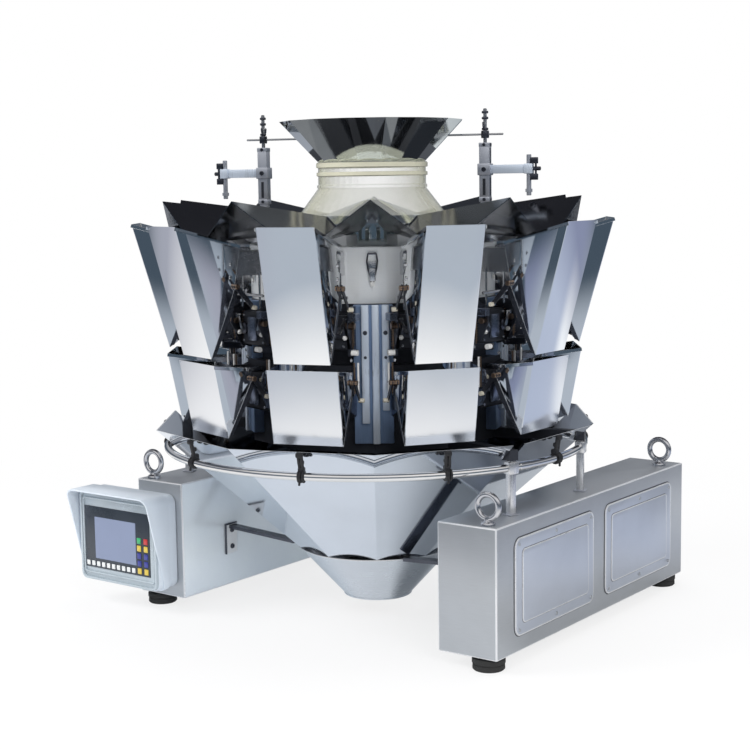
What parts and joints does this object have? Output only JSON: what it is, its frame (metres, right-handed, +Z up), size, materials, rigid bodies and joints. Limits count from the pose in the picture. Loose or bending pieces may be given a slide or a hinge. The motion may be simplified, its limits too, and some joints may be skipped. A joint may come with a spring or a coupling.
{
  "type": "multihead weigher",
  "caption": "Combination weigher: ring of feed and weigh hoppers with swinging gates round a drive body, infeed funnel, chute and side boxes.",
  "frame": {"origin": "on the floor under the middle of the whole object's box", "axes": "+X from the display side's box to the box with the cover plates, +Y from the display end to the rear, +Z up"},
  "size_m": [1.286, 1.2218, 1.258],
  "materials": {
    "hopper_steel": "mirror-polished stainless sheet with faint wear",
    "gate_steel": "polished stainless sheet",
    "box_steel": "satin, finely blasted stainless sheet",
    "cover_steel": "satin stainless plate",
    "rail_steel": "polished stainless tube",
    "drive_dark": "dark drive castings, semi-matt",
    "drum_steel": "satin stainless sheet",
    "pan_steel": "polished stainless sheet",
    "collar_plastic": "clear acrylic with a yellow cast",
    "funnel_steel": "mirror-polished stainless sheet",
    "stand_alloy": "bare machined aluminium",
    "chute_steel": "polished stainless sheet",
    "display_plastic": "pale grey-blue coated housing",
    "foot_rubber": "black rubber"
  },
  "bodies": {
    "frame": {"central_body": "drive_dark", "cover_plate_front": "cover_steel", "cover_plate_rear": "cover_steel", "discharge_chute": "chute_steel", "discharge_outlet": "chute_steel", "dispersion_cone": "pan_steel", "display_box": "display_plastic", "drum": "drum_steel", "feed_hopper_01": "hopper_steel", "feed_hopper_02": "hopper_steel", "feed_hopper_03": "hopper_steel", "feed_hopper_04": "hopper_steel", "feed_hopper_05": "hopper_steel", "feed_hopper_06": "hopper_steel", "feed_hopper_07": "hopper_steel", "feed_hopper_08": "hopper_steel", "feed_hopper_09": "hopper_steel", "feed_hopper_10": "hopper_steel", "feeder_pans": "pan_steel", "foot_front_left": "foot_rubber", "foot_front_right": "foot_rubber", "foot_rear_left": "foot_rubber", "foot_rear_right": "foot_rubber", "funnel_stand_left": "stand_alloy", "funnel_stand_right": "stand_alloy", "ring_frame": "rail_steel", "side_box_left": "box_steel", "side_box_right": "box_steel", "weigh_hopper_01": "hopper_steel", "weigh_hopper_02": "hopper_steel", "weigh_hopper_03": "hopper_steel", "weigh_hopper_04": "hopper_steel", "weigh_hopper_05": "hopper_steel", "weigh_hopper_06": "hopper_steel", "weigh_hopper_07": "hopper_steel", "weigh_hopper_08": "hopper_steel", "weigh_hopper_09": "hopper_steel", "weigh_hopper_10": "hopper_steel"},
    "funnel": {"infeed_funnel": "funnel_steel", "clear_collar": "collar_plastic"},
    "feed_gate_01": {"feed_gate_01": "gate_steel"},
    "weigh_gate_01": {"weigh_gate_01": "gate_steel"},
    "feed_gate_02": {"feed_gate_02": "gate_steel"},
    "weigh_gate_02": {"weigh_gate_02": "gate_steel"},
    "feed_gate_03": {"feed_gate_03": "gate_steel"},
    "weigh_gate_03": {"weigh_gate_03": "gate_steel"},
    "feed_gate_04": {"feed_gate_04": "gate_steel"},
    "weigh_gate_04": {"weigh_gate_04": "gate_steel"},
    "feed_gate_05": {"feed_gate_05": "gate_steel"},
    "weigh_gate_05": {"weigh_gate_05": "gate_steel"},
    "feed_gate_06": {"feed_gate_06": "gate_steel"},
    "weigh_gate_06": {"weigh_gate_06": "gate_steel"},
    "feed_gate_07": {"feed_gate_07": "gate_steel"},
    "weigh_gate_07": {"weigh_gate_07": "gate_steel"},
    "feed_gate_08": {"feed_gate_08": "gate_steel"},
    "weigh_gate_08": {"weigh_gate_08": "gate_steel"},
    "feed_gate_09": {"feed_gate_09": "gate_steel"},
    "weigh_gate_09": {"weigh_gate_09": "gate_steel"},
    "feed_gate_10": {"feed_gate_10": "gate_steel"},
    "weigh_gate_10": {"weigh_gate_10": "gate_steel"}
  },
  "joints": [
    {"name": "feed_gate_01_hinge", "type": "hinge", "parent": "frame", "child": "feed_gate_01", "pos_m": [0.18599, -0.44305, 0.85], "axis": [0.9511, 0.309, 0], "range_deg": [0, 50], "stiffness_Nm_per_rad": 1.2, "springref_deg": -20.05},
    {"name": "weigh_gate_01_hinge", "type": "hinge", "parent": "frame", "child": "weigh_gate_01", "pos_m": [0.17703, -0.41547, 0.636], "axis": [0.9511, 0.309, 0], "range_deg": [0, 50], "stiffness_Nm_per_rad": 1.2, "springref_deg": -20.05},
    {"name": "feed_gate_02_hinge", "type": "hinge", "parent": "frame", "child": "feed_gate_02", "pos_m": [0.40599, -0.28321, 0.85], "axis": [0.5878, 0.809, 0], "range_deg": [0, 50], "stiffness_Nm_per_rad": 1.2, "springref_deg": -20.05},
    {"name": "weigh_gate_02_hinge", "type": "hinge", "parent": "frame", "child": "weigh_gate_02", "pos_m": [0.38253, -0.26616, 0.636], "axis": [0.5878, 0.809, 0], "range_deg": [0, 50], "stiffness_Nm_per_rad": 1.2, "springref_deg": -20.05},
    {"name": "feed_gate_03_hinge", "type": "hinge", "parent": "frame", "child": "feed_gate_03", "pos_m": [0.49003, -0.02458, 0.85], "axis": [0, 1, 0], "range_deg": [0, 50], "stiffness_Nm_per_rad": 1.2, "springref_deg": -20.05},
    {"name": "weigh_gate_03_hinge", "type": "hinge", "parent": "frame", "child": "weigh_gate_03", "pos_m": [0.46103, -0.02458, 0.636], "axis": [0, 1, 0], "range_deg": [0, 50], "stiffness_Nm_per_rad": 1.2, "springref_deg": -20.05},
    {"name": "feed_gate_04_hinge", "type": "hinge", "parent": "frame", "child": "feed_gate_04", "pos_m": [0.40599, 0.23404, 0.85], "axis": [-0.5878, 0.809, 0], "range_deg": [0, 50], "stiffness_Nm_per_rad": 1.2, "springref_deg": -20.05},
    {"name": "weigh_gate_04_hinge", "type": "hinge", "parent": "frame", "child": "weigh_gate_04", "pos_m": [0.38253, 0.217, 0.636], "axis": [-0.5878, 0.809, 0], "range_deg": [0, 50], "stiffness_Nm_per_rad": 1.2, "springref_deg": -20.05},
    {"name": "feed_gate_05_hinge", "type": "hinge", "parent": "frame", "child": "feed_gate_05", "pos_m": [0.18599, 0.39388, 0.85], "axis": [-0.9511, 0.309, 0], "range_deg": [0, 50], "stiffness_Nm_per_rad": 1.2, "springref_deg": -20.05},
    {"name": "weigh_gate_05_hinge", "type": "hinge", "parent": "frame", "child": "weigh_gate_05", "pos_m": [0.17703, 0.3663, 0.636], "axis": [-0.9511, 0.309, 0], "range_deg": [0, 50], "stiffness_Nm_per_rad": 1.2, "springref_deg": -20.05},
    {"name": "feed_gate_06_hinge", "type": "hinge", "parent": "frame", "child": "feed_gate_06", "pos_m": [-0.08594, 0.39388, 0.85], "axis": [-0.9511, -0.309, 0], "range_deg": [0, 50], "stiffness_Nm_per_rad": 1.2, "springref_deg": -20.05},
    {"name": "weigh_gate_06_hinge", "type": "hinge", "parent": "frame", "child": "weigh_gate_06", "pos_m": [-0.07698, 0.3663, 0.636], "axis": [-0.9511, -0.309, 0], "range_deg": [0, 50], "stiffness_Nm_per_rad": 1.2, "springref_deg": -20.05},
    {"name": "feed_gate_07_hinge", "type": "hinge", "parent": "frame", "child": "feed_gate_07", "pos_m": [-0.30594, 0.23404, 0.85], "axis": [-0.5878, -0.809, 0], "range_deg": [0, 50], "stiffness_Nm_per_rad": 1.2, "springref_deg": -20.05},
    {"name": "weigh_gate_07_hinge", "type": "hinge", "parent": "frame", "child": "weigh_gate_07", "pos_m": [-0.28248, 0.217, 0.636], "axis": [-0.5878, -0.809, 0], "range_deg": [0, 50], "stiffness_Nm_per_rad": 1.2, "springref_deg": -20.05},
    {"name": "feed_gate_08_hinge", "type": "hinge", "parent": "frame", "child": "feed_gate_08", "pos_m": [-0.38997, -0.02458, 0.85], "axis": [0, -1, 0], "range_deg": [0, 50], "stiffness_Nm_per_rad": 1.2, "springref_deg": -20.05},
    {"name": "weigh_gate_08_hinge", "type": "hinge", "parent": "frame", "child": "weigh_gate_08", "pos_m": [-0.36097, -0.02458, 0.636], "axis": [0, -1, 0], "range_deg": [0, 50], "stiffness_Nm_per_rad": 1.2, "springref_deg": -20.05},
    {"name": "feed_gate_09_hinge", "type": "hinge", "parent": "frame", "child": "feed_gate_09", "pos_m": [-0.30594, -0.28321, 0.85], "axis": [0.5878, -0.809, 0], "range_deg": [0, 50], "stiffness_Nm_per_rad": 1.2, "springref_deg": -20.05},
    {"name": "weigh_gate_09_hinge", "type": "hinge", "parent": "frame", "child": "weigh_gate_09", "pos_m": [-0.28248, -0.26616, 0.636], "axis": [0.5878, -0.809, 0], "range_deg": [0, 50], "stiffness_Nm_per_rad": 1.2, "springref_deg": -20.05},
    {"name": "feed_gate_10_hinge", "type": "hinge", "parent": "frame", "child": "feed_gate_10", "pos_m": [-0.08594, -0.44305, 0.85], "axis": [0.9511, -0.309, 0], "range_deg": [0, 50], "stiffness_Nm_per_rad": 1.2, "springref_deg": -20.05},
    {"name": "weigh_gate_10_hinge", "type": "hinge", "parent": "frame", "child": "weigh_gate_10", "pos_m": [-0.07698, -0.41547, 0.636], "axis": [0.9511, -0.309, 0], "range_deg": [0, 50], "stiffness_Nm_per_rad": 1.2, "springref_deg": -20.05},
    {"name": "funnel_height", "type": "slide", "parent": "frame", "child": "funnel", "axis": [0, 0, 1], "range_m": [0, 0.03]}
  ]
}
